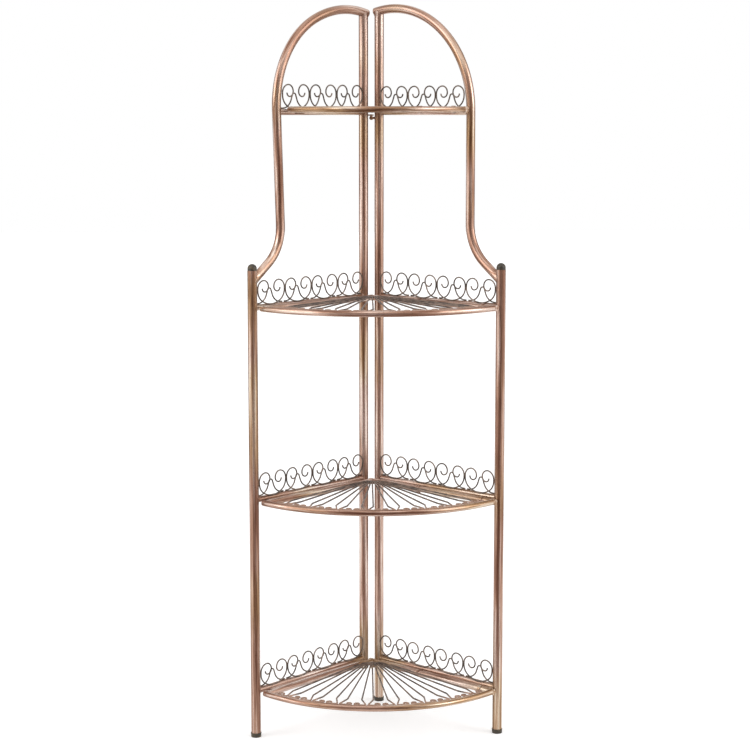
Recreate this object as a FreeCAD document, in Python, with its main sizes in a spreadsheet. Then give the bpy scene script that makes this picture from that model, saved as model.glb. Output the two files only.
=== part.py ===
import FreeCAD, Part
import math
import os

# A free-standing corner shelf of painted steel tube and wire. Two flat panels
# stand at a right angle, each with a tall back post under an arched side tube and a
# shorter front post. Four quarter-round shelves hang between them on hinge eyes of the
# right panel, lift up against it, and rest on tabs of the left panel, which swings open
# on two upright pins beside the back posts.

# Named sizes, in millimetres and degrees
SIZES = (
    ("overall_height", 1800),
    ("post_diameter", 23.5),
    ("arch_tube_diameter", 22),
    ("crossbar_diameter", 15),
    ("rail_diameter", 15),
    ("gallery_wire_diameter", 3.5),
    ("fan_wire_diameter", 4),
    ("tube_wall", 1),
    ("back_post_from_corner", 28),
    ("front_post_from_corner", 424),
    ("right_arch_side_from_corner", 326.5),
    ("left_arch_side_from_corner", 338),
    ("right_arch_peak_from_corner", 73.5),
    ("left_arch_peak_from_corner", 82),
    ("left_arch_below_right", 3),
    ("left_arch_lean_angle", 2.2),
    ("arch_entry_angle", 52),
    ("front_post_top", 1157),
    ("arch_entry_below_post_top", 27.5),
    ("crossbar_1_below_top", 266),
    ("crossbar_2_below_post_top", 90),
    ("crossbar_3_height", 596),
    ("crossbar_4_height", 116),
    ("shelf_1_above_crossbar", 6),
    ("shelf_2_below_crossbar", 2),
    ("lower_shelves_below_crossbars", 7),
    ("right_rail_inset", 20),
    ("left_rail_inset", 22),
    ("rim_centre_along", 51),
    ("rim_centre_across", 37.5),
    ("rim_end_setback", 2),
    ("plate_radius", 46),
    ("plate_thickness", 2),
    ("plate_rise", 1.5),
    ("fan_start_radius", 34),
    ("fan_unit_angle", 10.3),
    ("fan_aside_angle", 0.5),
    ("fan_scroll_angle", 1.6),
    ("fan_kink_radius", 12),
    ("fan_foot_radius", 3.5),
    ("scroll_outer_radius", 7),
    ("scroll_inner_radius", 4.5),
    ("foot_diameter", 26.5),
    ("foot_taper", 0.8),
    ("foot_height", 10.5),
    ("foot_floor", 2.5),
    ("cap_diameter", 22.5),
    ("cap_collar", 5),
    ("cap_dome", 11.25),
    ("spigot_length", 12),
    ("plug_thickness", 3),
    ("left_back_post_below_crossbar", 24),
    ("hinge_eye_wall", 1.5),
    ("hinge_eye_width", 8),
    ("hinge_eye_web", 3),
    ("front_eye_from_upright", 38),
    ("rear_eye_from_corner", 182),
    ("tab_width", 12),
    ("tab_thickness", 2.5),
    ("tab_reach", 27),
    ("tab_from_rim_end", 40),
    ("pivot_from_panels", 14),
    ("pivot_pin_diameter", 6),
    ("pivot_ball_diameter", 10.5),
    ("upper_pivot_drop", 15),
    ("lower_pivot_drop", 25),
    ("pivot_eye_wall", 2.7),
    ("pivot_eye_thickness", 3.5),
    ("pivot_lug_width", 6),
    ("running_gap", 0.3),
    ("weld_gap", 0.05),
    ("cope_gap", 0.3),
    ("slip_gap", 0.1),
    ("gallery_end_gap", 0.8),
    ("cut_overrun", 14),
)

# Shapes that follow a named size keep these shares of it
RIGHT_ARCH_TOP_RADIUS_SHARE = 1
LEFT_ARCH_TOP_RADIUS_SHARE = 1.132
ARCH_BEND_RADIUS_SHARE = 1.25
LYRE_RADIUS_SHARES = (1.327, 0.664, 0.442, 0.354, 0.265, 0.199)
LYRE_STRAIGHT_SHARE = 0.085
BELL_HEIGHT_SHARE = 0.78
BELL_PEAK_RADIUS_SHARE = 0.133
BELL_FLARE_RADIUS_SHARE = 0.664
FAN_KINK_SHARE = 0.875
FAN_LEG_SHARE = 0.28

# Counts and plain angles
UPPER_LYRE_COUNT = 3
LOWER_LYRE_COUNT = 4
FULL_FAN_UNITS = 7
SHELF_COUNT = 4
BELL_LEG_ANGLE = 70
ARCH_TOP_ANGLE = 25
LYRE_SEAT_ANGLE = 45
QUARTER_TURN = 90
HALF_TURN = 180
SCROLL_END_TURN = 130
SHELF_NUMBERS = range(1, SHELF_COUNT + 1)
TOP_SHELF = SHELF_NUMBERS[0]
BOTTOM_SHELF = SHELF_NUMBERS[-1]

UP = FreeCAD.Vector(0, 0, 1)
ALONG = FreeCAD.Vector(1, 0, 0)
ACROSS = FreeCAD.Vector(0, 1, 0)

doc = FreeCAD.newDocument("CornerShelf")
sheet = doc.addObject("Spreadsheet::Sheet", "Sizes")
for row, (alias, value) in enumerate(SIZES, start=1):
    sheet.set(f"A{row}", alias)
    sheet.set(f"B{row}", str(value))
    sheet.setAlias(f"B{row}", alias)
doc.recompute()


def size(alias):
    """The value that a named cell of the sheet holds."""
    return float(sheet.get(alias))


def sine(angle):
    return math.sin(math.radians(angle))


def cosine(angle):
    return math.cos(math.radians(angle))


# Radii and levels that several pieces share
post_radius = size("post_diameter") / 2
arch_tube_radius = size("arch_tube_diameter") / 2
crossbar_radius = size("crossbar_diameter") / 2
rail_radius = size("rail_diameter") / 2
gallery_wire_radius = size("gallery_wire_diameter") / 2
fan_wire_radius = size("fan_wire_diameter") / 2
wall = size("tube_wall")
weld_gap = size("weld_gap")
running_gap = size("running_gap")
back_post_x = size("back_post_from_corner")
front_post_x = size("front_post_from_corner")
arch_centre_height = size("overall_height") - arch_tube_radius

crossbar_list = [
    size("overall_height") - size("crossbar_1_below_top"),
    size("front_post_top") - size("crossbar_2_below_post_top"),
    size("crossbar_3_height"),
    size("crossbar_4_height"),
]
CROSSBAR_HEIGHTS = dict(zip(SHELF_NUMBERS, crossbar_list))
shelf_rises = [
    size("shelf_1_above_crossbar"),
    -size("shelf_2_below_crossbar"),
    -size("lower_shelves_below_crossbars"),
    -size("lower_shelves_below_crossbars"),
]
SHELF_RISES = dict(zip(SHELF_NUMBERS, shelf_rises))
SHELF_LEVELS = {number: CROSSBAR_HEIGHTS[number] + SHELF_RISES[number] for number in SHELF_NUMBERS}

# The rim of a shelf ends a little behind the upright that it reaches: the arch for the
# top shelf, the front post for the others
UPRIGHT_CELLS = {number: "front_post_from_corner" for number in SHELF_NUMBERS}
UPRIGHT_CELLS[TOP_SHELF] = "right_arch_side_from_corner"
RIM_RADIUS_CELLS = {
    number: f"Sizes.{UPRIGHT_CELLS[number]} - Sizes.rim_centre_along - Sizes.rim_end_setback"
    for number in SHELF_NUMBERS
}
RIM_RADII = {
    number: size(UPRIGHT_CELLS[number]) - size("rim_centre_along") - size("rim_end_setback")
    for number in SHELF_NUMBERS
}

# The corner line of the two panels stands where the outline is centred front to back
diagonal = cosine(QUARTER_TURN / 2)
rim_centre_depth = (size("rim_centre_along") + size("rim_centre_across")) * diagonal
front_reach = rim_centre_depth + max(RIM_RADII.values()) + rail_radius
back_reach = (back_post_x - post_radius - arch_tube_radius) * diagonal
corner = FreeCAD.Vector(0, (front_reach + back_reach) / 2, 0)

# Each panel is drawn along +X from the corner line; the inside of the right panel is
# towards -Y and that of the left panel towards +Y. Shelves are drawn as the right panel.
RIGHT_FRAME = FreeCAD.Placement(corner, FreeCAD.Rotation(UP, -QUARTER_TURN / 2))
LEFT_FRAME = FreeCAD.Placement(corner, FreeCAD.Rotation(UP, -QUARTER_TURN * 3 / 2))
RIGHT_INSIDE = -1
LEFT_INSIDE = 1

sub_parts = []


def finish(label, item, frame):
    """Name a sub-part and stand it in its panel's frame."""
    item.Label = label
    item.Placement = frame
    sub_parts.append(item)


def cylinder(name, radius_cell, length, base, axis):
    """A round bar whose radius follows the sheet; its length is a cell or worked out."""
    bar = doc.addObject("Part::Cylinder", name)
    bar.setExpression("Radius", radius_cell)
    if isinstance(length, str):
        bar.setExpression("Height", length)
    else:
        bar.Height = length
    bar.Placement = FreeCAD.Placement(base, FreeCAD.Rotation(UP, axis))
    return bar


def plate(name, cells, base, turn):
    """A flat bar whose length, width and height follow the sheet."""
    bar = doc.addObject("Part::Box", name)
    for side, cell in zip(("Length", "Width", "Height"), cells):
        bar.setExpression(side, cell)
    bar.Placement = FreeCAD.Placement(base, turn)
    return bar


def cut(name, base, tool):
    """The base with the tool taken away."""
    item = doc.addObject("Part::Cut", name)
    item.Base = base
    item.Tool = tool
    return item


def fuse(name, pieces):
    """Several solids grown into one."""
    item = doc.addObject("Part::MultiFuse", name)
    item.Shapes = pieces
    return item


def compound(name, pieces):
    """Separate solids kept side by side."""
    item = doc.addObject("Part::Compound", name)
    item.Links = pieces
    return item


# Bent lines of straight runs and tangent arcs

def flat_point(position, plane_y):
    """A point of an upright drawing plane, given along and up."""
    return FreeCAD.Vector(position[0], plane_y, position[1])


def level_point(position, plane_z):
    """A point of a level drawing plane, given along and across."""
    return FreeCAD.Vector(position[0], position[1], plane_z)


def moved(position, heading, distance):
    return (
        position[0] + distance * cosine(heading),
        position[1] + distance * sine(heading),
    )


def arc_end(position, heading, radius, turn):
    """Where an arc of a bend ends, and its middle; a positive turn goes left."""
    side = math.copysign(QUARTER_TURN, turn)
    centre = moved(position, heading + side, radius)
    middle = moved(centre, heading - side + turn / 2, radius)
    return moved(centre, heading - side + turn, radius), middle


def bent_edges(start, heading, steps, place, level):
    """The edges of a bend list of (run, radius, turn), with its end and last heading."""
    edges = []
    position = start
    for run, radius, turn in steps:
        if run > 0:
            after_run = moved(position, heading, run)
            edges.append(Part.LineSegment(place(position, level), place(after_run, level)).toShape())
            position = after_run
        if turn:
            after_turn, middle = arc_end(position, heading, radius, turn)
            points = [place(point, level) for point in (position, middle, after_turn)]
            edges.append(Part.Arc(*points).toShape())
            position = after_turn
            heading = heading + turn
    return edges, position, heading


def round_wire(path, radius):
    """A solid round wire along a path, its volume compared with section times length."""
    first = path.Edges[0]
    start = first.valueAt(first.FirstParameter)
    tangent = first.tangentAt(first.FirstParameter)
    section = Part.Face(Part.Wire(Part.makeCircle(radius, start, tangent)))
    wire = path.makePipe(section)
    solid = wire.Solids[0]
    expected = math.pi * radius**2 * path.Length
    if abs(solid.Volume - expected) > expected / 100:
        raise ValueError(f"wire volume {solid.Volume:.1f} is not {expected:.1f}")
    return solid


def swept_tube(name, path, radius_cell):
    """A round bar along a bent path, its radius bound to the sheet."""
    spine = doc.addObject("Part::Feature", name + "_path")
    spine.Shape = path
    first = path.Edges[0]
    section = doc.addObject("Part::Circle", name + "_section")
    section.setExpression("Radius", radius_cell)
    start = first.valueAt(first.FirstParameter)
    tangent = first.tangentAt(first.FirstParameter)
    section.Placement = FreeCAD.Placement(start, FreeCAD.Rotation(UP, tangent))
    sweep = doc.addObject("Part::Sweep", name)
    sweep.Sections = [section]
    sweep.Spine = (spine, [f"Edge{number + 1}" for number in range(len(path.Edges))])
    sweep.Solid = True
    sweep.Frenet = False
    return sweep


# Arched side tube: up over the back post, down in two arcs, a straight side, then a bend
# outwards into the front post
class Arch:
    """The bend of one panel's arched side tube, in the panel's plane."""

    def __init__(self, side, top_radius_share, lean, drop):
        self.side_x = size(f"{side}_arch_side_from_corner")
        self.peak_x = size(f"{side}_arch_peak_from_corner")
        self.lean = lean
        self.peak_height = arch_centre_height - drop
        run = self.side_x - self.peak_x
        self.top_radius = top_radius_share * run
        reach = self.top_radius * sine(ARCH_TOP_ANGLE)
        self.side_radius = (run - reach) / (1 - sine(ARCH_TOP_ANGLE))
        fall = self.top_radius * (1 - cosine(ARCH_TOP_ANGLE))
        self.side_height = self.peak_height - fall - self.side_radius * cosine(ARCH_TOP_ANGLE)

    def axis_x(self, height):
        """How far out the tube's axis stands at a height on its side arc."""
        above = max(height - self.side_height, 0)
        return self.side_x - self.side_radius + math.sqrt(self.side_radius**2 - above**2)

    def axis_height(self, along):
        """How high the tube's axis stands over a place on its top arc."""
        beside = self.peak_x - along
        return self.peak_height - self.top_radius + math.sqrt(self.top_radius**2 - beside**2)

    def path(self):
        start_x = back_post_x - post_radius
        rise_angle = math.degrees(math.asin((self.peak_x - start_x) / self.top_radius))
        start = (start_x, self.axis_height(start_x))
        bend_radius = ARCH_BEND_RADIUS_SHARE * (front_post_x - self.side_x)
        bend_turn = size("arch_entry_angle") + self.lean
        steps = [
            (0, self.top_radius, -rise_angle - ARCH_TOP_ANGLE),
            (0, self.side_radius, ARCH_TOP_ANGLE - QUARTER_TURN - self.lean),
        ]
        side_top, side_heading = bent_edges(start, rise_angle, steps, flat_point, 0)[1:]
        bend_end = arc_end((0, 0), side_heading, bend_radius, bend_turn)[0]
        last_heading = side_heading + bend_turn
        entry_height = size("front_post_top") - size("arch_entry_below_post_top")
        missing_along = front_post_x - side_top[0] - bend_end[0]
        missing_up = entry_height - side_top[1] - bend_end[1]
        spread = sine(last_heading - side_heading)
        side_run = missing_along * sine(last_heading) - missing_up * cosine(last_heading)
        last_run = missing_up * cosine(side_heading) - missing_along * sine(side_heading)
        steps += [(side_run / spread, bend_radius, bend_turn), (last_run / spread, 0, 0)]
        return Part.Wire(bent_edges(start, rise_angle, steps, flat_point, 0)[0])


# One wire ornament of the gallery: a lyre with two scrolled arms, and a bell behind it
FOOT_SHARE, SIDE_SHARE = LYRE_RADIUS_SHARES[:2]
LYRE_FOOT_TURN = math.degrees(math.asin((1 - SIDE_SHARE) / (FOOT_SHARE - SIDE_SHARE)))
LYRE_WAIST_SHARE = FOOT_SHARE * (1 - cosine(LYRE_FOOT_TURN)) + SIDE_SHARE * cosine(LYRE_FOOT_TURN)


def lyre_path(half_width, centre_x, foot_height, plane_y):
    """Two arcs up from the foot, a short straight at the waist, then a scroll, on each side."""
    radii = [share * half_width for share in LYRE_RADIUS_SHARES]
    turns = [LYRE_FOOT_TURN, QUARTER_TURN - LYRE_FOOT_TURN] + [QUARTER_TURN] * (len(radii) - 2)
    half_steps = [(0, radius, turn) for radius, turn in zip(radii, turns)]
    below, above = half_steps[:2], half_steps[2:]
    waist = [(LYRE_STRAIGHT_SHARE * half_width, 0, 0)]
    foot = (centre_x, foot_height)
    end, heading = bent_edges(foot, 0, below + waist + above, flat_point, plane_y)[1:]
    start = (centre_x + centre_x - end[0], end[1])
    steps = above[::-1] + waist + below[::-1] + below + waist + above
    return Part.Wire(bent_edges(start, -heading, steps, flat_point, plane_y)[0])


def bell_path(half_width, centre_x, foot_height, plane_y):
    height = BELL_HEIGHT_SHARE * half_width
    peak_radius = BELL_PEAK_RADIUS_SHARE * half_width
    flare_radius = BELL_FLARE_RADIUS_SHARE * half_width
    bent_drop = (peak_radius + flare_radius) * (1 - cosine(BELL_LEG_ANGLE))
    leg = (height - bent_drop) / sine(BELL_LEG_ANGLE)
    reach = (peak_radius + flare_radius) * sine(BELL_LEG_ANGLE) + leg * cosine(BELL_LEG_ANGLE)
    toe = half_width - reach - gallery_wire_radius
    steps = [
        (toe, flare_radius, BELL_LEG_ANGLE),
        (leg, peak_radius, -BELL_LEG_ANGLE * 2),
        (leg, flare_radius, BELL_LEG_ANGLE),
        (toe, 0, 0),
    ]
    start = (centre_x - reach - toe, foot_height)
    return Part.Wire(bent_edges(start, 0, steps, flat_point, plane_y)[0])


# The lyres sit on the inner shoulder of the crossbar, the bells on top of it
bar_to_wire = crossbar_radius + gallery_wire_radius + weld_gap
LYRE_LAYER = bar_to_wire * cosine(LYRE_SEAT_ANGLE)
LYRE_RISE = bar_to_wire * sine(LYRE_SEAT_ANGLE)


def lyre_clearance(upright_radius):
    """From an upright's axis to where the wire of a lyre touches the upright."""
    touch = upright_radius + gallery_wire_radius + weld_gap
    return math.sqrt(touch**2 - LYRE_LAYER**2) - gallery_wire_radius


def gallery(label, frame, inside, number, far_end_x, count):
    """A row of lyres and bells along a crossbar, in two layers of wire."""
    near_end_x = back_post_x + lyre_clearance(post_radius)
    pitch = (far_end_x - near_end_x) / count
    half_width = (pitch - size("gallery_wire_diameter") - weld_gap * 2) / 2
    lyre_foot = CROSSBAR_HEIGHTS[number] + LYRE_RISE
    bell_foot = CROSSBAR_HEIGHTS[number] + bar_to_wire
    solids = []
    for place in range(count):
        centre_x = near_end_x + pitch * (place + 1 / 2)
        front = lyre_path(half_width, centre_x, lyre_foot, inside * LYRE_LAYER)
        behind = bell_path(half_width, centre_x, bell_foot, 0)
        solids += [round_wire(wire, gallery_wire_radius) for wire in (front, behind)]
    item = doc.addObject("Part::Feature", label)
    item.Shape = Part.makeCompound(solids)
    finish(label, item, frame)


# Feet, caps and plugs of dark plastic
def foot_cup(label, frame, post_x):
    base = FreeCAD.Vector(post_x, 0, 0)
    body = doc.addObject("Part::Cone", label + "_body")
    body.setExpression("Radius1", "Sizes.foot_diameter / 2 - Sizes.foot_taper")
    body.setExpression("Radius2", "Sizes.foot_diameter / 2")
    body.setExpression("Height", "Sizes.foot_height")
    body.Placement = FreeCAD.Placement(base, FreeCAD.Rotation())
    seat = base + UP * size("foot_floor")
    bore = cylinder(
        label + "_bore", "Sizes.post_diameter / 2 + Sizes.slip_gap", "Sizes.foot_height", seat, UP
    )
    finish(label, cut(label, body, bore), frame)


def post_cap(label, frame):
    seat = FreeCAD.Vector(front_post_x, 0, size("front_post_top"))
    collar = cylinder(label + "_collar", "Sizes.cap_diameter / 2", "Sizes.cap_collar", seat, UP)
    spigot = cylinder(
        label + "_spigot",
        "Sizes.post_diameter / 2 - Sizes.tube_wall - Sizes.slip_gap",
        "Sizes.spigot_length + Sizes.cap_collar",
        seat - UP * size("spigot_length"),
        UP,
    )
    dome = doc.addObject("Part::Ellipsoid", label + "_dome")
    dome.setExpression("Radius1", "Sizes.cap_dome")
    dome.setExpression("Radius2", "Sizes.cap_diameter / 2")
    dome.setExpression("Radius3", "Sizes.cap_diameter / 2")
    dome.Angle1 = 0
    dome.Angle2 = QUARTER_TURN
    dome.Placement = FreeCAD.Placement(seat + UP * size("cap_collar"), FreeCAD.Rotation())
    finish(label, fuse(label, [collar, spigot, dome]), frame)


# Posts and crossbars, each a tube coped to the tube that it meets
def post_tube(label, foot_level, height, x_position):
    base = FreeCAD.Vector(x_position, 0, foot_level)
    outer = cylinder(label + "_outer", "Sizes.post_diameter / 2", height, base, UP)
    inner = cylinder(
        label + "_inner", "Sizes.post_diameter / 2 - Sizes.tube_wall", height, base, UP
    )
    return cut(label + "_tube", outer, inner)


def crossbar(label, frame, number, upright_cell, upright_tool, back_tool):
    length_cell = f"{upright_cell} - Sizes.back_post_from_corner"
    start = FreeCAD.Vector(back_post_x, 0, CROSSBAR_HEIGHTS[number])
    outer = cylinder(label + "_outer", "Sizes.crossbar_diameter / 2", length_cell, start, ALONG)
    inner = cylinder(
        label + "_inner", "Sizes.crossbar_diameter / 2 - Sizes.tube_wall", length_cell, start, ALONG
    )
    tube = cut(label + "_tube", outer, inner)
    posts = fuse(label + "_posts", [upright_tool, back_tool])
    finish(label, cut(label, tube, posts), frame)


def build_panel(side, frame, inside, arch, back_foot_level):
    """The tubes, wires, caps and feet that one panel is welded from."""
    path = arch.path()
    arch_label = f"{side}_arch_tube"
    arch_outer = swept_tube(arch_label + "_outer", path, "Sizes.arch_tube_diameter / 2")
    arch_inner = swept_tube(
        arch_label + "_inner", path, "Sizes.arch_tube_diameter / 2 - Sizes.tube_wall"
    )
    arch_tool = swept_tube(
        arch_label + "_clearance", path, "Sizes.arch_tube_diameter / 2 + Sizes.weld_gap"
    )
    floor = FreeCAD.Vector(0, 0, size("foot_floor"))
    tool_cell = "Sizes.post_diameter / 2 + Sizes.weld_gap"
    front_tool = cylinder(
        f"{side}_front_clearance", tool_cell, "Sizes.front_post_top", floor + ALONG * front_post_x, UP
    )
    back_tool = cylinder(
        f"{side}_back_clearance", tool_cell, "Sizes.overall_height", floor + ALONG * back_post_x, UP
    )
    arch_tube = cut(arch_label + "_tube", arch_outer, arch_inner)
    finish(arch_label, cut(arch_label, arch_tube, front_tool), frame)

    front_height = "Sizes.front_post_top - Sizes.foot_floor"
    front_post = post_tube(f"{side}_front_post", size("foot_floor"), front_height, front_post_x)
    finish(f"{side}_front_post", front_post, frame)

    back_label = f"{side}_back_post"
    back_height = arch.axis_height(back_post_x) - back_foot_level
    back_tube = post_tube(back_label, back_foot_level, back_height, back_post_x)
    finish(back_label, cut(back_label, back_tube, arch_tool), frame)

    # The arch closes in above its crossbar, so its gallery ends at the waist of the lyres
    bay = (arch.side_x - back_post_x) / UPPER_LYRE_COUNT
    waist_rise = (LYRE_WAIST_SHARE + LYRE_STRAIGHT_SHARE) * bay / 2
    waist_height = CROSSBAR_HEIGHTS[TOP_SHELF] + LYRE_RISE + waist_rise
    arch_end = arch.axis_x(waist_height) - lyre_clearance(arch_tube_radius)
    post_end = front_post_x - lyre_clearance(post_radius)
    for number in SHELF_NUMBERS:
        on_arch = number == TOP_SHELF
        crossbar(
            f"{side}_crossbar_{number}",
            frame,
            number,
            f"Sizes.{side}_arch_side_from_corner" if on_arch else "Sizes.front_post_from_corner",
            arch_tool if on_arch else front_tool,
            back_tool,
        )
        gallery(
            f"{side}_gallery_{number}",
            frame,
            inside,
            number,
            arch_end - size("gallery_end_gap") if on_arch else post_end,
            UPPER_LYRE_COUNT if on_arch else LOWER_LYRE_COUNT,
        )
    post_cap(f"{side}_post_cap", frame)
    foot_cup(f"{side}_front_foot", frame, front_post_x)
    return back_tool


left_back_post_foot = CROSSBAR_HEIGHTS[BOTTOM_SHELF] - size("left_back_post_below_crossbar")
right_arch = Arch("right", RIGHT_ARCH_TOP_RADIUS_SHARE, 0, 0)
left_arch = Arch(
    "left",
    LEFT_ARCH_TOP_RADIUS_SHARE,
    size("left_arch_lean_angle"),
    size("left_arch_below_right"),
)
right_back_tool = build_panel(
    "right", RIGHT_FRAME, RIGHT_INSIDE, right_arch, size("foot_floor")
)
left_back_tool = build_panel(
    "left", LEFT_FRAME, LEFT_INSIDE, left_arch, left_back_post_foot
)
foot_cup("right_back_foot", RIGHT_FRAME, back_post_x)

# Plug in the lower end of the left back post, which hangs clear of the floor
plug_top = FreeCAD.Vector(back_post_x, 0, left_back_post_foot)
plug_head = cylinder(
    "plug_head",
    "Sizes.post_diameter / 2",
    "Sizes.plug_thickness",
    plug_top - UP * size("plug_thickness"),
    UP,
)
plug_spigot = cylinder(
    "plug_spigot",
    "Sizes.post_diameter / 2 - Sizes.tube_wall - Sizes.slip_gap",
    "Sizes.spigot_length + Sizes.plug_thickness",
    plug_top - UP * size("plug_thickness"),
    UP,
)
finish("left_back_post_plug", fuse("left_back_post_plug", [plug_head, plug_spigot]), LEFT_FRAME)

# Pivot pins: an arm from the right back post to a ball, with an upright pin above it
pivot_x = size("pivot_from_panels")
pivot_y = size("pivot_from_panels")
arm_across = FreeCAD.Vector(back_post_x - pivot_x, pivot_y, 0)
PIVOT_LEVELS = {
    "upper": CROSSBAR_HEIGHTS[TOP_SHELF] - size("upper_pivot_drop"),
    "lower": CROSSBAR_HEIGHTS[BOTTOM_SHELF] - size("lower_pivot_drop"),
}
pins = []
for name, ball_level in PIVOT_LEVELS.items():
    centre = FreeCAD.Vector(pivot_x, -pivot_y, ball_level)
    ball = doc.addObject("Part::Sphere", f"pivot_ball_{name}")
    ball.setExpression("Radius", "Sizes.pivot_ball_diameter / 2")
    ball.Placement = FreeCAD.Placement(centre, FreeCAD.Rotation())
    pin = cylinder(
        f"pivot_pin_{name}",
        "Sizes.pivot_pin_diameter / 2",
        "Sizes.pivot_ball_diameter / 2 + Sizes.running_gap * 2 + Sizes.pivot_eye_thickness",
        centre,
        UP,
    )
    arm = cylinder(
        f"pivot_arm_{name}",
        "Sizes.pivot_pin_diameter / 2",
        "Sizes.back_post_from_corner - Sizes.pivot_from_panels / 2",
        centre,
        arm_across,
    )
    bent_pin = fuse(f"pivot_bent_pin_{name}", [ball, pin, arm])
    pins.append(cut(f"pivot_coped_pin_{name}", bent_pin, right_back_tool))
finish("panel_pivot_pins", compound("panel_pivot_pins", pins), RIGHT_FRAME)

# Pivot eyes: rings on lugs of the left back post, dropped over the pins
eye_rise = size("pivot_ball_diameter") / 2 + running_gap
eyes = []
for name, ball_level in PIVOT_LEVELS.items():
    seat = FreeCAD.Vector(pivot_x, pivot_y, ball_level + eye_rise)
    ring = cylinder(
        f"pivot_ring_{name}",
        "Sizes.pivot_pin_diameter / 2 + Sizes.running_gap + Sizes.pivot_eye_wall",
        "Sizes.pivot_eye_thickness",
        seat,
        UP,
    )
    lug_cells = (
        "Sizes.back_post_from_corner - Sizes.pivot_from_panels / 2",
        "Sizes.pivot_lug_width",
        "Sizes.pivot_eye_thickness",
    )
    lug_turn = FreeCAD.Rotation(ALONG, FreeCAD.Vector(back_post_x - pivot_x, -pivot_y, 0))
    lug_side = lug_turn.multVec(ACROSS * (size("pivot_lug_width") / 2))
    lug = plate(f"pivot_lug_{name}", lug_cells, seat - lug_side, lug_turn)
    bore = cylinder(
        f"pivot_bore_{name}",
        "Sizes.pivot_pin_diameter / 2 + Sizes.running_gap",
        "Sizes.pivot_eye_thickness",
        seat,
        UP,
    )
    blank = fuse(f"pivot_eye_blank_{name}", [ring, lug])
    tools = fuse(f"pivot_eye_tools_{name}", [bore, left_back_tool])
    eyes.append(cut(f"pivot_eye_{name}", blank, tools))
finish("panel_pivot_eyes", compound("panel_pivot_eyes", eyes), LEFT_FRAME)

# Hinge eyes: rings round the right rail of each shelf, on webs from the crossbar
rail_axis_y = -size("right_rail_inset")
hinge_eyes = []
for number in SHELF_NUMBERS:
    front_middle = size(UPRIGHT_CELLS[number]) - size("front_eye_from_upright")
    middles = (front_middle, size("rear_eye_from_corner"))
    for position, middle_x in zip(("front", "rear"), middles):
        name = f"hinge_eye_{number}_{position}"
        start = FreeCAD.Vector(
            middle_x - size("hinge_eye_width") / 2, rail_axis_y, SHELF_LEVELS[number]
        )
        ring = cylinder(
            name + "_ring",
            "Sizes.rail_diameter / 2 + Sizes.running_gap + Sizes.hinge_eye_wall",
            "Sizes.hinge_eye_width",
            start,
            ALONG,
        )
        bore = cylinder(
            name + "_bore",
            "Sizes.rail_diameter / 2 + Sizes.running_gap",
            "Sizes.hinge_eye_width",
            start,
            ALONG,
        )
        bar_start = FreeCAD.Vector(start.x, 0, CROSSBAR_HEIGHTS[number])
        to_bar = bar_start - start
        web = doc.addObject("Part::Box", name + "_web")
        web.setExpression("Length", "Sizes.hinge_eye_width")
        web.setExpression("Width", "Sizes.hinge_eye_web")
        web.Height = to_bar.Length
        web_turn = FreeCAD.Rotation(ALONG, to_bar.cross(ALONG), to_bar, "ZXY")
        web_side = web_turn.multVec(ACROSS * (size("hinge_eye_web") / 2))
        web.Placement = FreeCAD.Placement(start - web_side, web_turn)
        bar_tool = cylinder(
            name + "_bar",
            "Sizes.crossbar_diameter / 2 + Sizes.weld_gap",
            "Sizes.hinge_eye_width",
            bar_start,
            ALONG,
        )
        blank = fuse(name + "_blank", [ring, web])
        tools = fuse(name + "_tools", [bore, bar_tool])
        hinge_eyes.append(cut(name, blank, tools))
finish("shelf_hinge_eyes", compound("shelf_hinge_eyes", hinge_eyes), RIGHT_FRAME)

# Rest tabs: flat tabs of the left panel under the left rails, each on a web from the
# crossbar
tab_cells = ("Sizes.tab_width", "Sizes.tab_reach", "Sizes.tab_thickness")
tabs = []
for number in SHELF_NUMBERS:
    rim_offset = size("rim_centre_along") - size("left_rail_inset")
    rim_end_x = size("rim_centre_across") + math.sqrt(RIM_RADII[number] ** 2 - rim_offset**2)
    start_x = rim_end_x - size("tab_from_rim_end")
    tab_top = SHELF_LEVELS[number] - rail_radius - running_gap
    tab_base = FreeCAD.Vector(start_x, 0, tab_top - size("tab_thickness"))
    tab = plate(f"tab_{number}_foot", tab_cells, tab_base, FreeCAD.Rotation())
    web = doc.addObject("Part::Box", f"tab_{number}_web")
    web.setExpression("Length", "Sizes.tab_width")
    web.setExpression("Width", "Sizes.tab_thickness")
    web.Height = CROSSBAR_HEIGHTS[number] - tab_base.z
    web.Placement = FreeCAD.Placement(tab_base, FreeCAD.Rotation())
    bar_tool = cylinder(
        f"tab_{number}_bar",
        "Sizes.crossbar_diameter / 2 + Sizes.weld_gap",
        "Sizes.tab_width",
        FreeCAD.Vector(start_x, 0, CROSSBAR_HEIGHTS[number]),
        ALONG,
    )
    tabs.append(cut(f"tab_{number}", fuse(f"tab_{number}_blank", [tab, web]), bar_tool))
finish("shelf_rest_tabs", compound("shelf_rest_tabs", tabs), LEFT_FRAME)


# Shelves: a bent front rim, two straight rails, a corner plate and a fan of wires
apex = (size("left_rail_inset"), rail_axis_y)
rim_centre = (size("rim_centre_along"), -size("rim_centre_across"))
wire_lift = size("plate_rise") + size("plate_thickness") + fan_wire_radius
rail_touch = math.sqrt((rail_radius + fan_wire_radius + weld_gap) ** 2 - wire_lift**2)


def rim_distance(angle, rim_radius):
    """From the corner of the rails to the rim's centre line, along a ray of the fan."""
    offset_x = rim_centre[0] - apex[0]
    offset_y = apex[1] - rim_centre[1]
    along_ray = offset_x * cosine(angle) + offset_y * sine(angle)
    square = along_ray**2 - offset_x**2 - offset_y**2 + rim_radius**2
    return along_ray + math.sqrt(square)


def fan_point(angle, distance):
    return (apex[0] + distance * cosine(angle), apex[1] - distance * sine(angle))


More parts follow.
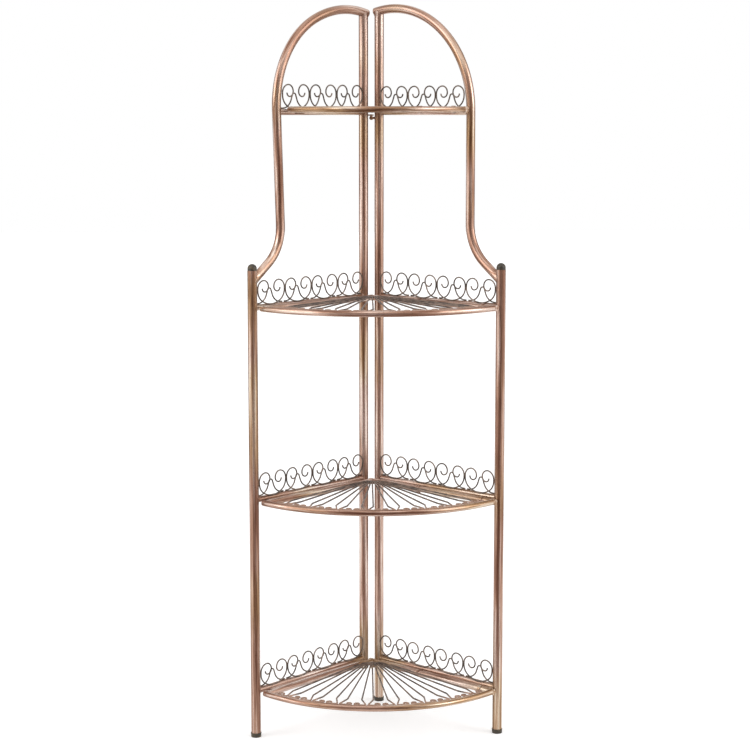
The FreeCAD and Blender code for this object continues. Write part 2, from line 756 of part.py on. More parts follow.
def corner_step(before, point, after, radius):
    """The turn at a corner of the wire and the length that its arc takes off each run."""
    heading_in = math.atan2(point[1] - before[1], point[0] - before[0])
    heading_out = math.atan2(after[1] - point[1], after[0] - point[0])
    turn = math.degrees(heading_out - heading_in)
    turn = (turn + HALF_TURN) % (HALF_TURN * 2) - HALF_TURN
    return turn, radius * abs(math.tan(math.radians(turn / 2)))


def fan_wire(unit_angle, side, rim_radius, level):
    """A leg from the corner plate, flared out to the rim, turned back and scrolled."""
    leg_angle = unit_angle + side * size("fan_unit_angle") * FAN_LEG_SHARE
    rim_at_leg = rim_distance(leg_angle, rim_radius)
    foot_spread = math.degrees((fan_wire_radius + weld_gap) / rim_at_leg)
    foot_angle = unit_angle + side * (size("fan_unit_angle") / 2 - foot_spread)
    scroll_angle = unit_angle + side * size("fan_scroll_angle")
    nearer_rail = min(leg_angle, QUARTER_TURN - leg_angle)
    first = max(size("fan_start_radius"), rail_touch / sine(nearer_rail))
    start = fan_point(leg_angle, first)
    kink = fan_point(leg_angle, FAN_KINK_SHARE * rim_at_leg)
    foot = fan_point(foot_angle, rim_distance(foot_angle, rim_radius) - rail_touch)
    scroll = fan_point(scroll_angle, rim_distance(scroll_angle, rim_radius) - rail_touch)
    kink_turn, kink_trim = corner_step(start, kink, foot, size("fan_kink_radius"))
    foot_turn, foot_trim = corner_step(kink, foot, scroll, size("fan_foot_radius"))
    heading = math.degrees(math.atan2(kink[1] - start[1], kink[0] - start[0]))
    leg_run = math.dist(start, kink) - kink_trim
    flare_run = math.dist(kink, foot) - kink_trim - foot_trim
    back_run = math.dist(foot, scroll) - foot_trim
    steps = [
        (leg_run, size("fan_kink_radius"), kink_turn),
        (flare_run, size("fan_foot_radius"), foot_turn),
        (back_run, size("scroll_outer_radius"), side * HALF_TURN),
        (0, size("scroll_inner_radius"), side * SCROLL_END_TURN),
    ]
    return Part.Wire(bent_edges(start, heading, steps, level_point, level)[0])


def build_shelf(number):
    level = SHELF_LEVELS[number]
    rim_radius = RIM_RADII[number]
    name = f"shelf_{number}"
    outer_side = size("left_rail_inset") - rail_radius
    rail_line = rim_centre[1] - rail_axis_y
    first_angle = math.degrees(math.asin(-rail_line / rim_radius))
    open_end = size("left_rail_inset") - size("rail_diameter")
    last_angle = QUARTER_TURN + math.degrees(math.asin((rim_centre[0] - open_end) / rim_radius))
    hollow_end = outer_side + wall * 2
    hollow_angle = QUARTER_TURN + math.degrees(
        math.asin((rim_centre[0] - hollow_end) / rim_radius)
    )

    def rim_ring(suffix, section_cell, end_angle):
        ring = doc.addObject("Part::Torus", name + suffix)
        ring.setExpression("Radius1", RIM_RADIUS_CELLS[number])
        ring.setExpression("Radius2", section_cell)
        ring.Angle3 = end_angle + first_angle
        centre = FreeCAD.Vector(rim_centre[0], rim_centre[1], level)
        ring.Placement = FreeCAD.Placement(centre, FreeCAD.Rotation(UP, -end_angle))
        return ring

    rim_end_x = rim_centre[0] + math.sqrt(rim_radius**2 - rail_line**2)
    rail_start = FreeCAD.Vector(outer_side, rail_axis_y, level)
    rail_length = rim_end_x + rail_radius - outer_side

    # Right rail, closed at its front end, and the hinge line of the shelf
    rail_outer = cylinder(
        name + "_right_rail_outer", "Sizes.rail_diameter / 2", rail_length, rail_start, ALONG
    )
    rail_inner = cylinder(
        name + "_right_rail_inner",
        "Sizes.rail_diameter / 2 - Sizes.tube_wall",
        rail_length - wall * 2,
        rail_start,
        ALONG,
    )
    rail_label = name + "_right_rail"
    finish(rail_label, cut(rail_label, rail_outer, rail_inner), RIGHT_FRAME)

    # Front rim, coped to the right rail and cut square at its left end
    tube = cut(
        name + "_rim_tube",
        rim_ring("_rim_outer", "Sizes.rail_diameter / 2", last_angle),
        rim_ring("_rim_inner", "Sizes.rail_diameter / 2 - Sizes.tube_wall", hollow_angle),
    )
    rail_tool = cylinder(
        name + "_rail_clearance",
        "Sizes.rail_diameter / 2 + Sizes.cope_gap",
        rail_length + size("cut_overrun"),
        rail_start,
        ALONG,
    )
    square_cells = (
        "Sizes.rail_diameter * 2", "Sizes.rail_diameter * 4", "Sizes.rail_diameter * 2"
    )
    square_corner = FreeCAD.Vector(
        outer_side - size("rail_diameter") * 2,
        rim_centre[1] - rim_radius - size("rail_diameter") * 2,
        level - size("rail_diameter"),
    )
    square = plate(name + "_rim_square", square_cells, square_corner, FreeCAD.Rotation())
    rim_label = name + "_rim"
    rim_tools = fuse(rim_label + "_tools", [rail_tool, square])
    finish(rim_label, cut(rim_label, tube, rim_tools), RIGHT_FRAME)

    # Left rail, coped to the right rail at the back and to the rim at the front
    left_start = FreeCAD.Vector(size("left_rail_inset"), rail_axis_y, level)
    rim_offset = rim_centre[0] - size("left_rail_inset")
    left_length = math.sqrt(rim_radius**2 - rim_offset**2) - rim_centre[1] + rail_axis_y
    left_bars = []
    for suffix, section_cell in (
        ("_left_rail_outer", "Sizes.rail_diameter / 2"),
        ("_left_rail_inner", "Sizes.rail_diameter / 2 - Sizes.tube_wall"),
    ):
        left_bars.append(cylinder(name + suffix, section_cell, left_length, left_start, -ACROSS))
    left_tube = cut(name + "_left_rail_tube", left_bars[0], left_bars[1])
    rim_tool = rim_ring("_rim_clearance", "Sizes.rail_diameter / 2 + Sizes.cope_gap", last_angle)
    left_tools_here = fuse(name + "_left_rail_tools", [rail_tool, rim_tool])
    left_label = name + "_left_rail"
    finish(left_label, cut(left_label, left_tube, left_tools_here), RIGHT_FRAME)

    # Corner plate under the inner ends of the wires, fitted between the rails
    blank = doc.addObject("Part::Cylinder", name + "_plate_blank")
    blank.setExpression("Radius", "Sizes.plate_radius")
    blank.setExpression("Height", "Sizes.plate_thickness")
    blank.Angle = QUARTER_TURN
    plate_centre = FreeCAD.Vector(apex[0], apex[1], level + size("plate_rise"))
    blank.Placement = FreeCAD.Placement(plate_centre, FreeCAD.Rotation(UP, -QUARTER_TURN))
    side_tool = cylinder(
        name + "_side_clearance",
        "Sizes.rail_diameter / 2 + Sizes.weld_gap",
        "Sizes.plate_radius + Sizes.rail_diameter",
        left_start,
        -ACROSS,
    )
    plate_tools = fuse(name + "_plate_tools", [rail_tool, side_tool])
    plate_label = name + "_corner_plate"
    finish(plate_label, cut(plate_label, blank, plate_tools), RIGHT_FRAME)

    # Fan of wires: whole units round the middle, and half a unit beside each rail
    middle_angle = QUARTER_TURN / 2 - size("fan_aside_angle")
    reach = (FULL_FAN_UNITS + 1) // 2
    solids = []
    for place in range(-reach, reach + 1):
        unit_angle = middle_angle + place * size("fan_unit_angle")
        for side in (-1, 1):
            if abs(place) < reach or side * place < 0:
                path = fan_wire(unit_angle, side, rim_radius, level + wire_lift)
                solids.append(round_wire(path, fan_wire_radius))
    fan = doc.addObject("Part::Feature", name + "_fan")
    fan.Shape = Part.makeCompound(solids)
    finish(name + "_fan_wires", fan, RIGHT_FRAME)


for number in SHELF_NUMBERS:
    build_shelf(number)

doc.recompute()

# Every object must have worked out, and every sub-part be a valid solid, before writing
for item in doc.Objects:
    for state in ("Invalid", "Error"):
        if state in item.State:
            raise ValueError(f"{item.Label} is {state}")
for item in sub_parts:
    shape = item.Shape
    if shape.isNull() or not shape.isValid() or not shape.Solids:
        raise ValueError(f"{item.Label} has no valid solid")

os.makedirs("parts", exist_ok=True)
for item in sub_parts:
    item.Shape.exportStep(os.path.join("parts", item.Label + ".step"))
    box = item.Shape.BoundBox
    print(f"{item.Label}: {len(item.Shape.Solids)} solids, {item.Shape.Volume:.0f} mm3, "
          f"z {box.ZMin:.1f} to {box.ZMax:.1f}")
print(f"{len(sub_parts)} sub-parts")
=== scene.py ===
import bpy
import math
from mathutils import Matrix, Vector


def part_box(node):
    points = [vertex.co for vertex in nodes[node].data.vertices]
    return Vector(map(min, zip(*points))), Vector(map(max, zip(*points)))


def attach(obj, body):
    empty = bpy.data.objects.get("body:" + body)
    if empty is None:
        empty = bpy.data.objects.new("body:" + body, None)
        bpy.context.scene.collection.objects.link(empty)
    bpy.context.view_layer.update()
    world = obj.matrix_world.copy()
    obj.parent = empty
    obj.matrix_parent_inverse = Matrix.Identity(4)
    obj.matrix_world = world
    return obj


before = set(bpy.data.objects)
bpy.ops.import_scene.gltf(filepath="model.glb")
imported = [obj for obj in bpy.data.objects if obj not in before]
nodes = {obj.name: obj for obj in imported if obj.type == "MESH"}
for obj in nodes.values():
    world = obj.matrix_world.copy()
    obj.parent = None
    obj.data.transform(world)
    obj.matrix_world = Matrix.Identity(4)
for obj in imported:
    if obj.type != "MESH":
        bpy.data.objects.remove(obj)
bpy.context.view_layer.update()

# Posts. Four upright tubes of 23.5 mm steel, cut to length and painted copper bronze.
# The paint is rubbed on in long strokes over a brown coat, so each tube carries brown
# stripes, pale worn ones and, here and there, a patch of ochre.
SIDES = ("right", "left")
SHELVES = range(1, 5)
# The numbers of a colour Mix node's two colours and of its result
COLOUR_A, COLOUR_B, MIXED = 6, 7, 2


def linear(code):
    """An sRGB hex colour as linear RGBA."""
    values = [int(code[place:place + 2], 16) / 255 for place in (1, 3, 5)]
    values = [v / 12.92 if v <= 0.04045 else ((v + 0.055) / 1.055) ** 2.4 for v in values]
    return (*values, 1)


def cleared(owner):
    """Empty the node tree of a material or a world, and return the tree."""
    owner.use_nodes = True
    owner.node_tree.nodes.clear()
    return owner.node_tree


def add(tree, kind, settings=None, links=None):
    """Add a shader node, set its properties or sockets, and link its sockets.

    A link comes from a socket, or from the first socket of a node.
    """
    node = tree.nodes.new(kind)
    for name, value in (settings or {}).items():
        if isinstance(name, int) or name in node.inputs:
            node.inputs[name].default_value = value
        else:
            setattr(node, name, value)
    for name, source in (links or {}).items():
        socket = source.outputs[0] if isinstance(source, bpy.types.Node) else source
        tree.links.new(socket, node.inputs[name])
    return node


def ramp(node, stops):
    """Set a colour ramp's stops from (place, hex colour) pairs."""
    elements = node.color_ramp.elements
    while len(elements) < len(stops):
        elements.new(0.5)
    for element, (place, code) in zip(elements, stops):
        element.position = place
        element.color = linear(code)


def straight_strokes(stroke_mm, turn=(0, 0, 0)):
    """Strokes along a straight tube: a stroke's size in a frame, and that frame's turn."""
    def lay(tree, place):
        size = [length / 1000 for length in stroke_mm]
        return add(tree, "ShaderNodeMapping",
                   {"vector_type": "TEXTURE", "Rotation": turn, "Scale": size},
                   {"Vector": place})
    return lay


def bent_strokes(stroke_mm, turn, middle, radius, foot=None):
    """Strokes round a bend about a frame's Z, which run straight on below its X axis.

    stroke_mm is a stroke's size across the bend, across its plane, and along the tube. turn
    and middle place the frame, and radius is the bend's. foot is the X and Y of a lower
    bend's middle, where the straight turns outwards, and its radius.
    """
    def lay(tree, place):
        local = add(tree, "ShaderNodeMapping",
                    {"vector_type": "TEXTURE", "Location": middle, "Rotation": turn},
                    {"Vector": place})
        across, level, aside = add(tree, "ShaderNodeSeparateXYZ", links={0: local}).outputs
        above = add(tree, "ShaderNodeMath", {"operation": "MAXIMUM", 1: 0.0}, {0: level})
        run = add(tree, "ShaderNodeMath", {"operation": "MINIMUM", 1: 0.0}, {0: level})
        if foot:
            # Under the foot's middle, the run goes on by the angle swept about it
            foot_x, foot_y, foot_radius = foot
            inward = add(tree, "ShaderNodeMath", {"operation": "SUBTRACT", 0: foot_x},
                         {1: across})
            under = add(tree, "ShaderNodeMath", {"operation": "SUBTRACT", 0: foot_y}, {1: level})
            under = add(tree, "ShaderNodeMath", {"operation": "MAXIMUM", 1: 0.0}, {0: under})
            spoke = add(tree, "ShaderNodeCombineXYZ", links={0: inward, 1: under})
            spoke = add(tree, "ShaderNodeVectorMath", {"operation": "LENGTH"}, {0: spoke})
            across = add(tree, "ShaderNodeMath", {"operation": "SUBTRACT", 0: foot_x},
                         {1: spoke.outputs["Value"]})
            swept = add(tree, "ShaderNodeMath", {"operation": "ARCTAN2"}, {0: under, 1: inward})
            run = add(tree, "ShaderNodeMath", {"operation": "MAXIMUM", 1: foot_y}, {0: run})
            run = add(tree, "ShaderNodeMath", {"operation": "MULTIPLY_ADD", 1: -foot_radius},
                      {0: swept, 2: run})
        angle = add(tree, "ShaderNodeMath", {"operation": "ARCTAN2"}, {0: above, 1: across})
        along = add(tree, "ShaderNodeMath", {"operation": "MULTIPLY_ADD", 1: radius},
                    {0: angle, 2: run})
        arm = add(tree, "ShaderNodeCombineXYZ", links={0: across, 1: above})
        reach = add(tree, "ShaderNodeVectorMath", {"operation": "LENGTH"}, {0: arm})
        laid = add(tree, "ShaderNodeCombineXYZ",
                   links={0: reach.outputs["Value"], 1: aside, 2: along})
        return straight_strokes(stroke_mm)(tree, laid)
    return lay


def rubbed_bronze(name, lay, pale=0.0):
    """Copper bronze paint on steel, rubbed over a brown coat in strokes along the tube.

    pale lightens all the strokes. On the back posts it is painted light: their strokes are made
    lighter to make up for the shade and the darker reflection of the dark cards that they get.
    """
    material = bpy.data.materials.new(name)
    tree = cleared(material)
    place = add(tree, "ShaderNodeTexCoord").outputs["Object"]
    laid = lay(tree, place)
    strokes = add(tree, "ShaderNodeTexNoise",
                  {"Scale": 1.0, "Detail": 3.0, "Roughness": 0.5, "Distortion": 0.3},
                  {"Vector": laid})
    # The strokes lightened by pale, which on the back posts is painted light
    lightened_strokes = add(tree, "ShaderNodeMath", {"operation": "ADD", 1: pale}, {0: strokes})
    # Copper paint, from the brown coat to the pale worn stripes
    copper = add(tree, "ShaderNodeValToRGB", links={"Fac": lightened_strokes})
    ramp(copper, ((0.34, "#7a5442"), (0.46, "#a37d69"), (0.56, "#c2a291"), (0.68, "#e3cec2")))
    # Ochre paint, where more gold was rubbed in, in patches of some 260 mm
    ochre = add(tree, "ShaderNodeValToRGB", links={"Fac": lightened_strokes})
    ramp(ochre, ((0.34, "#795a37"), (0.46, "#a18059"), (0.56, "#bea284"), (0.68, "#e0d0b8")))
    patch = add(tree, "ShaderNodeTexNoise",
                {"Scale": 1000 / 260, "Detail": 2.0, "Roughness": 0.5}, {"Vector": place})
    patch_edge = add(tree, "ShaderNodeMapRange",
                     {"From Min": 0.5, "From Max": 0.62, "To Min": 0.0, "To Max": 0.75},
                     {"Value": patch})
    paint = add(tree, "ShaderNodeMix", {"data_type": "RGBA"},
                {"Factor": patch_edge, COLOUR_A: copper, COLOUR_B: ochre})
    # Fine brown lines along the tube, left between the strokes and about three to a stroke
    line = add(tree, "ShaderNodeTexNoise", {"Scale": 3.2, "Detail": 2.0}, {"Vector": laid})
    line_edge = add(tree, "ShaderNodeMapRange",
                    {"From Min": 0.54, "From Max": 0.68, "To Min": 0.0, "To Max": 0.55},
                    {"Value": line})
    lined = add(tree, "ShaderNodeMix", {"data_type": "RGBA", COLOUR_B: linear("#5a3a2c")},
                {"Factor": line_edge, COLOUR_A: paint.outputs[MIXED]})
    # Specks of bare undercoat, in a grain of 4 mm
    speck = add(tree, "ShaderNodeTexNoise", {"Scale": 1000 / 4, "Detail": 3.0}, {"Vector": place})
    speck_edge = add(tree, "ShaderNodeMapRange",
                     {"From Min": 0.64, "From Max": 0.72, "To Min": 0.0, "To Max": 0.5},
                     {"Value": speck})
    worn = add(tree, "ShaderNodeMix", {"data_type": "RGBA", COLOUR_B: linear("#4a2f22")},
               {"Factor": speck_edge, COLOUR_A: lined.outputs[MIXED]})
    gloss = add(tree, "ShaderNodeMapRange",
                {"From Min": 0.3, "From Max": 0.7, "To Min": 0.36, "To Max": 0.24},
                {"Value": strokes})
    relief = add(tree, "ShaderNodeBump", {"Strength": 0.25, "Distance": 0.0004},
                 {"Height": strokes})
    shader = add(tree, "ShaderNodeBsdfPrincipled", {"Metallic": 0.68},
                 {"Base Color": worn.outputs[MIXED], "Roughness": gloss, "Normal": relief})
    add(tree, "ShaderNodeOutputMaterial", links={"Surface": shader})
    return material


def dress(names, material):
    """Give CAD nodes their finish."""
    for name in names:
        for slot in nodes[name].material_slots:
            slot.material = material


# Painted light: the back posts' strokes are lightened to make up for their shade and the darker
# reflection of the dark cards in them
for end, pale in (("front", 0.0), ("back", 0.05)):
    lay = straight_strokes((7, 7, 260))
    post_paint = rubbed_bronze(f"rubbed_bronze_{end}_posts", lay, pale)
    dress([f"{side}_{end}_post" for side in SIDES], post_paint)

# Arched side tubes. One 22 mm tube on each panel, bent on rollers from the top of the
# back post over and down into the front post, with the same rubbed bronze paint.
PANEL_TURNS = {"right": math.radians(-45), "left": math.radians(-135)}
# The top bend's radius and middle, then the lower bend as bent_strokes takes it, in metres
ARCH_BEND = 0.25
ARCH_MIDDLES = {"right": (0.052, 0.1704, 1.536), "left": (-0.0672, 0.1552, 1.53)}
ARCH_FEET = {"right": (0.375, -0.271, 0.122), "left": (0.3505, -0.281, 0.1075)}
for side in SIDES:
    stood_up = (math.radians(90), 0, PANEL_TURNS[side])
    lay = bent_strokes((7, 7, 240), stood_up, ARCH_MIDDLES[side], ARCH_BEND, ARCH_FEET[side])
    dress([f"{side}_arch_tube"], rubbed_bronze(f"rubbed_bronze_{side}_arch", lay))

# Crossbars. Eight 15 mm steel tubes, four in each panel, coped and welded level between
# its uprights and painted with them, so that the strokes run along each bar.
bar_paints = {}
for side in SIDES:
    lay = straight_strokes((160, 6, 6), (0, 0, PANEL_TURNS[side]))
    bar_paints[side] = rubbed_bronze(f"rubbed_bronze_{side}_bars", lay, 0.05)
    dress([f"{side}_crossbar_{number}" for number in SHELVES], bar_paints[side])


# Gallery wires. Lyres and bells of 3.5 mm steel wire, bent cold and spot welded to the
# crossbars. The wire got the brown coat and only a trace of the bronze.
def brown_wire(name, dark, pale, rim=None):
    """Satin brown paint on wire, with a little bronze on the high spots.

    rim is the middle and the radius of the shelf rim that a fan's feet lie along: the bronze
    was rubbed over the feet together with the rim.
    """
    material = bpy.data.materials.new(name)
    tree = cleared(material)
    place = add(tree, "ShaderNodeTexCoord").outputs["Object"]
    # Rubbed stretches of about 25 mm along the wire, and grains of 2 mm
    stretch = add(tree, "ShaderNodeTexNoise", {"Scale": 1000 / 25, "Detail": 2.0},
                  {"Vector": place})
    grain = add(tree, "ShaderNodeTexNoise", {"Scale": 1000 / 2, "Detail": 2.0}, {"Vector": place})
    blend = add(tree, "ShaderNodeMapRange",
                {"From Min": 0.4, "From Max": 0.65, "To Min": 0.0, "To Max": 1.0},
                {"Value": stretch})
    paint = add(tree, "ShaderNodeMix",
                {"data_type": "RGBA", COLOUR_A: linear(dark), COLOUR_B: linear(pale)},
                {"Factor": blend})
    if rim:
        # The bronze begins 36 mm inside the rim's line and has its full share from 20 mm on
        rim_middle, rim_radius = rim
        flat = add(tree, "ShaderNodeVectorMath", {"operation": "MULTIPLY", 1: (1, 1, 0)},
                   {0: place})
        reach = add(tree, "ShaderNodeVectorMath", {"operation": "DISTANCE", 1: rim_middle},
                    {0: flat})
        foot = add(tree, "ShaderNodeMapRange",
                   {"From Min": rim_radius - 0.036, "From Max": rim_radius - 0.02, "To Max": 0.7},
                   {"Value": reach.outputs["Value"]})
        paint = add(tree, "ShaderNodeMix", {"data_type": "RGBA", COLOUR_B: linear("#b4907b")},
                    {"Factor": foot, COLOUR_A: paint.outputs[MIXED]})
    gloss = add(tree, "ShaderNodeMapRange", {"To Min": 0.35, "To Max": 0.5}, {"Value": grain})
    relief = add(tree, "ShaderNodeBump", {"Strength": 0.3, "Distance": 0.0003},
                 {"Height": grain})
    shader = add(tree, "ShaderNodeBsdfPrincipled", {"Metallic": 0.35},
                 {"Base Color": paint.outputs[MIXED], "Roughness": gloss, "Normal": relief})
    add(tree, "ShaderNodeOutputMaterial", links={"Surface": shader})
    return material


gallery_paint = brown_wire("brown_painted_gallery_wire", "#554b43", "#857468")
dress([f"{side}_gallery_{number}" for side in SIDES for number in SHELVES], gallery_paint)

# Shelf rails and rims. Each shelf is edged with 15 mm tube: two straight rails at a right
# angle, the right one turning in the hinge eyes, and a bent rim across the front.
# The middle of all four rims, seen from above, and their radii, in metres
RIM_MIDDLE = (0.0095, 0.1598, 0)
RIM_RADII = {1: 0.2735, 2: 0.371, 3: 0.371, 4: 0.371}
lay = bent_strokes((6, 6, 160), (0, 0, PANEL_TURNS["left"]), RIM_MIDDLE, RIM_RADII[4])
rim_paint = rubbed_bronze("rubbed_bronze_rims", lay)
for number in SHELVES:
    dress([f"shelf_{number}_rim"], rim_paint)
    for side in SIDES:
        dress([f"shelf_{number}_{side}_rail"], bar_paints[side])

# Corner plates and fans. A quarter disc of 2 mm sheet joins the rails of each shelf, and
# a fan of 4 mm wires is welded on it; their feet lie along the rim and end in scrolls.
plate_paint = rubbed_bronze("rubbed_bronze_plates", straight_strokes((30, 30, 30)))
for number in SHELVES:
    fan_paint = brown_wire(f"brown_painted_fan_{number}", "#4e4139", "#826e60",
                           (RIM_MIDDLE, RIM_RADII[number]))
    dress([f"shelf_{number}_corner_plate"], plate_paint)
    dress([f"shelf_{number}_fan_wires"], fan_paint)

# Hinge eyes, pivot pins, pivot eyes and rest tabs. Small steel fittings, welded on before
# painting, so the same brown coat and rubbed bronze go over them, in short strokes.
fitting_paint = rubbed_bronze("rubbed_bronze_fittings", straight_strokes((14, 14, 14)))
dress(["shelf_hinge_eyes", "panel_pivot_pins", "panel_pivot_eyes", "shelf_rest_tabs"],
      fitting_paint)

# Weld beads. A bead of weld runs round each end of a crossbar and an arch, and round three
# joints of each shelf. The beads were dressed flat and painted over with the tubes.
UPRIGHT = Vector((0, 0, 1))
LENGTHWAYS = {
    "right": Vector((1, -1, 0)).normalized(),
    "left": Vector((-1, -1, 0)).normalized(),
}
POST_RADIUS, ARCH_RADIUS, BAR_RADIUS = 0.01175, 0.011, 0.0075
PANEL_WELD, SHELF_WELD = 0.0009, 0.0004
# Distances along a panel from the corner where the two panels' planes meet
POST_FROM_CORNER = 0.028
ARCH_FROM_CORNER = {"right": 0.3265, "left": 0.3376}
# The arch's axis over the back post and its rise there, and where it enters the front post
ARCH_LEVELS = {"right": 1.7849, "left": 1.781}
ARCH_RISE = math.radians(10.4)
ENTRY_LEVEL = 1.1295
ENTRY_SLOPE = math.radians(38)


def middle(node):
    """The middle of a CAD node's box."""
    low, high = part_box(node)
    return (low + high) / 2


def bead(start, toward, square, across, radii, parts):
    """A ring of weld where a tube runs toward a host tube.

    start is on the tube's axis, one host radius short of the host's axis along square;
    across is at right angles to both axes, and the ring dips round the host along it.
    radii are those of the tube, the host and the weld's own section.
    """
    tube, host, weld = radii
    bpy.ops.mesh.primitive_torus_add(major_segments=40, minor_segments=8,
                                     major_radius=tube + weld / 5, minor_radius=weld)
    ring = bpy.context.object
    third = toward.cross(across).normalized()
    ripples, ripple_height = 9, 0.2
    for corner in ring.data.vertices:
        wide, deep, thick = corner.co
        wave = 1 + ripple_height * math.sin(ripples * math.atan2(deep, wide))
        sink = host - math.sqrt(max(host ** 2 - wide ** 2, 0))
        sink = (sink - deep * third.dot(square)) / toward.dot(square)
        corner.co = start + across * wide + third * deep + toward * (thick * wave + sink)
    bpy.ops.object.mode_set(mode="EDIT")
    bpy.ops.mesh.select_all(action="SELECT")
    bpy.ops.mesh.normals_make_consistent(inside=False)
    bpy.ops.object.mode_set(mode="OBJECT")
    parts.append(ring)


def join_beads(name, parts, body):
    """Join one body's beads into one smooth piece with the fittings' paint."""
    bpy.ops.object.select_all(action="DESELECT")
    for ring in parts:
        ring.select_set(True)
    bpy.context.view_layer.objects.active = parts[0]
    bpy.ops.object.join()
    piece = bpy.context.object
    piece.name = name
    bpy.ops.object.shade_smooth()
    piece.data.materials.append(fitting_paint)
    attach(piece, body)


bpy.ops.object.select_all(action="DESELECT")
for side in SIDES:
    out = LENGTHWAYS[side]
    aside = UPRIGHT.cross(out)
    parts = []
    back = middle(f"{side}_back_post")
    front = middle(f"{side}_front_post")
    arch = back + out * (ARCH_FROM_CORNER[side] - POST_FROM_CORNER)
    for number in SHELVES:
        level = middle(f"{side}_crossbar_{number}").z
        far, host = (arch, ARCH_RADIUS) if number == 1 else (front, POST_RADIUS)
        for upright, way, radius in ((back, -out, POST_RADIUS), (far, out, host)):
            spot = Vector((upright.x, upright.y, level)) - way * radius
            bead(spot, way, way, aside, (BAR_RADIUS, radius, PANEL_WELD), parts)
    seat = Vector((back.x, back.y, ARCH_LEVELS[side] - ARCH_RADIUS / math.cos(ARCH_RISE)))
    square = UPRIGHT * math.cos(ARCH_RISE) - out * math.sin(ARCH_RISE)
    bead(seat, UPRIGHT, square, aside, (POST_RADIUS, ARCH_RADIUS, PANEL_WELD), parts)
    entry = Vector((front.x, front.y, ENTRY_LEVEL)) - out * POST_RADIUS
    entry.z += POST_RADIUS * math.tan(ENTRY_SLOPE)
    way = out * math.cos(ENTRY_SLOPE) - UPRIGHT * math.sin(ENTRY_SLOPE)
    bead(entry, way, out, aside, (ARCH_RADIUS, POST_RADIUS, PANEL_WELD), parts)
    join_beads(f"{side}_panel_welds", parts, f"{side}_panel")

# A shelf's distances from that corner: out along the right panel, deep along the left one
RAIL_OUT, RAIL_DEEP = 0.022, 0.02
RIM_OUT, RIM_DEEP = 0.051, 0.0375
out, deep = LENGTHWAYS["right"], LENGTHWAYS["left"]
corner_line = middle("right_back_post") - out * POST_FROM_CORNER
for number in SHELVES:
    parts = []
    level = middle(f"shelf_{number}_rim").z
    rim_radius = RIM_RADII[number]
    rim_reach = math.sqrt(rim_radius ** 2 - (RIM_DEEP - RAIL_DEEP) ** 2)
    rail_reach = math.sqrt(rim_radius ** 2 - (RIM_OUT - RAIL_OUT) ** 2)
    # The rim on the right rail, the left rail on the right rail, and the left rail on the rim
    for out_to, deep_to, way in (
        (RIM_OUT + rim_reach, RAIL_DEEP + BAR_RADIUS, -deep),
        (RAIL_OUT, RAIL_DEEP + BAR_RADIUS, -deep),
        (RAIL_OUT, RIM_DEEP + rail_reach - BAR_RADIUS, deep),
    ):
        spot = corner_line + out * out_to + deep * deep_to
        spot.z = level
        bead(spot, way, way, UPRIGHT, (BAR_RADIUS, BAR_RADIUS, SHELF_WELD), parts)
    join_beads(f"shelf_{number}_welds", parts, f"shelf_{number}")

# Caps, plug and foot cups. Dark brown moulded polyethylene, pushed on or into the tubes,
# matt, a little scuffed, and with a fine grain from the mould.
moulded = bpy.data.materials.new("moulded_brown_polyethylene")
tree = cleared(moulded)
place = add(tree, "ShaderNodeTexCoord").outputs["Object"]
scuff = add(tree, "ShaderNodeTexNoise", {"Scale": 1000 / 9, "Detail": 4.0}, {"Vector": place})
grain = add(tree, "ShaderNodeTexNoise", {"Scale": 1000 / 0.8, "Detail": 2.0}, {"Vector": place})
tone = add(tree, "ShaderNodeValToRGB", links={"Fac": scuff})
ramp(tone, ((0.35, "#2b2620"), (0.55, "#403729"), (0.7, "#5c4c33")))
gloss = add(tree, "ShaderNodeMapRange", {"To Min": 0.38, "To Max": 0.55}, {"Value": scuff})
relief = add(tree, "ShaderNodeBump", {"Strength": 0.2, "Distance": 0.0002}, {"Height": grain})
shader = add(tree, "ShaderNodeBsdfPrincipled", {"Metallic": 0.0},
             {"Base Color": tone, "Roughness": gloss, "Normal": relief})
add(tree, "ShaderNodeOutputMaterial", links={"Surface": shader})
dress(["right_post_cap", "left_post_cap", "right_front_foot", "left_front_foot",
       "right_back_foot", "left_back_post_plug"], moulded)


# Studio. A white floor that runs out to a white room, wide soft lamps far out at the sides
# and above, and dark cards that the tubes reflect as a dark stripe and darker edges.
def direct_rays(tree):
    """1 on a ray from the camera, off a glossy surface or through a clear one, else 0."""
    rays = add(tree, "ShaderNodeLightPath")
    seen = add(tree, "ShaderNodeMath", {"operation": "MAXIMUM"},
               {0: rays.outputs["Is Camera Ray"], 1: rays.outputs["Is Glossy Ray"]})
    return add(tree, "ShaderNodeMath", {"operation": "MAXIMUM"},
               {0: seen, 1: rays.outputs["Is Transmission Ray"]})


bpy.ops.object.select_all(action="DESELECT")
bpy.ops.mesh.primitive_plane_add(size=40, location=(0, 0, 0))
floor = bpy.context.object
floor.name = "floor"
white = bpy.data.materials.new("white_floor")
tree = cleared(white)
lift = add(tree, "ShaderNodeMath", {"operation": "MULTIPLY", 1: 0.34}, {0: direct_rays(tree)})
glow = add(tree, "ShaderNodeEmission", links={"Strength": lift})
matt = add(tree, "ShaderNodeBsdfDiffuse", {"Color": (0.9, 0.9, 0.9, 1)})
both = add(tree, "ShaderNodeAddShader", links={0: matt, 1: glow})
add(tree, "ShaderNodeOutputMaterial", links={"Surface": both})
floor.data.materials.append(white)

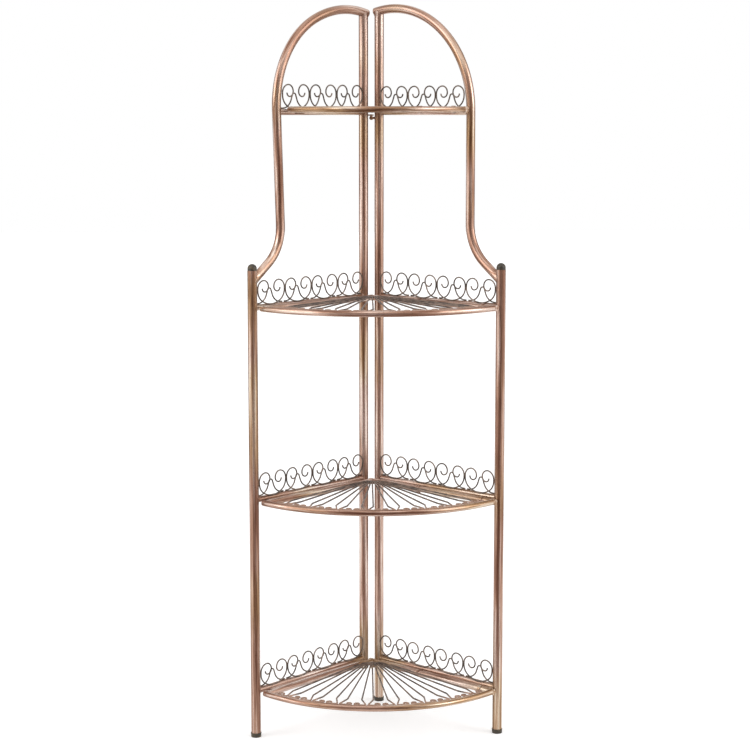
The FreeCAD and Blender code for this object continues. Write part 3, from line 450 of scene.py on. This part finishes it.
room = bpy.data.worlds.new("white_room")
bpy.context.scene.world = room
tree = cleared(room)
air = add(tree, "ShaderNodeBackground", {"Color": (1, 1, 1, 1), "Strength": 0.55})
backdrop = add(tree, "ShaderNodeBackground", {"Color": (1, 1, 1, 1), "Strength": 1.0})
mixed = add(tree, "ShaderNodeMixShader", links={0: direct_rays(tree), 1: air, 2: backdrop})
add(tree, "ShaderNodeOutputWorld", links={"Surface": mixed})

felt = bpy.data.materials.new("dark_felt")
tree = cleared(felt)
cloth = add(tree, "ShaderNodeBsdfDiffuse", {"Color": linear("#6e3418")})
add(tree, "ShaderNodeOutputMaterial", links={"Surface": cloth})
for name, spot, tilt, width, height in (
    ("front_card", (0, -2.1, 1.1), 90, 3.0, 3.4),
    ("floor_card", (0, -1.25, 0.01), 0, 3.0, 1.7),
    ("left_card", (-1.7, 1.7, 1.1), 90, 1.3, 3.4),
    ("right_card", (1.7, 1.7, 1.1), 90, 1.3, 3.4),
):
    turn = math.atan2(spot[1], spot[0]) + math.radians(90)
    bpy.ops.mesh.primitive_plane_add(size=1, location=spot,
                                     rotation=(math.radians(tilt), 0, turn))
    card = bpy.context.object
    card.name = name
    card.scale = (width, height, 1)
    bpy.ops.object.transform_apply(location=True, rotation=True, scale=True)
    if name == "floor_card":
        # A third as wide toward the shelf, so that its reflection keeps one width
        for corner in card.data.vertices:
            if corner.co.y > spot[1]:
                corner.co.x /= 3
    for way in ("visible_camera", "visible_diffuse", "visible_shadow", "visible_transmission"):
        setattr(card, way, False)
    card.data.materials.append(felt)

for name, source, spread, power in (
    ("left_lamp", (-1, -0.45, 0.4), 42, 1.25),
    ("right_lamp", (1, -0.45, 0.4), 42, 1.25),
    ("top_lamp", (0, -0.35, 1), 60, 0.5),
):
    bpy.ops.object.light_add(type="SUN", location=Vector(source) * 3)
    lamp = bpy.context.object
    lamp.name = name
    lamp.data.energy = power
    lamp.data.angle = math.radians(spread)
    lamp.rotation_euler = Vector(source).to_track_quat("Z", "Y").to_euler()

dip, swing = math.radians(7.83), math.radians(-2.91)
bpy.ops.object.camera_add(location=(-0.2377, -4.6576, 1.5331),
                          rotation=(math.radians(90) - dip, 0, swing))
camera = bpy.context.object
camera.data.sensor_width = 36
camera.data.lens = 91.68
camera.data.clip_end = 100
bpy.context.scene.camera = camera
bpy.context.scene.view_settings.view_transform = "Standard"
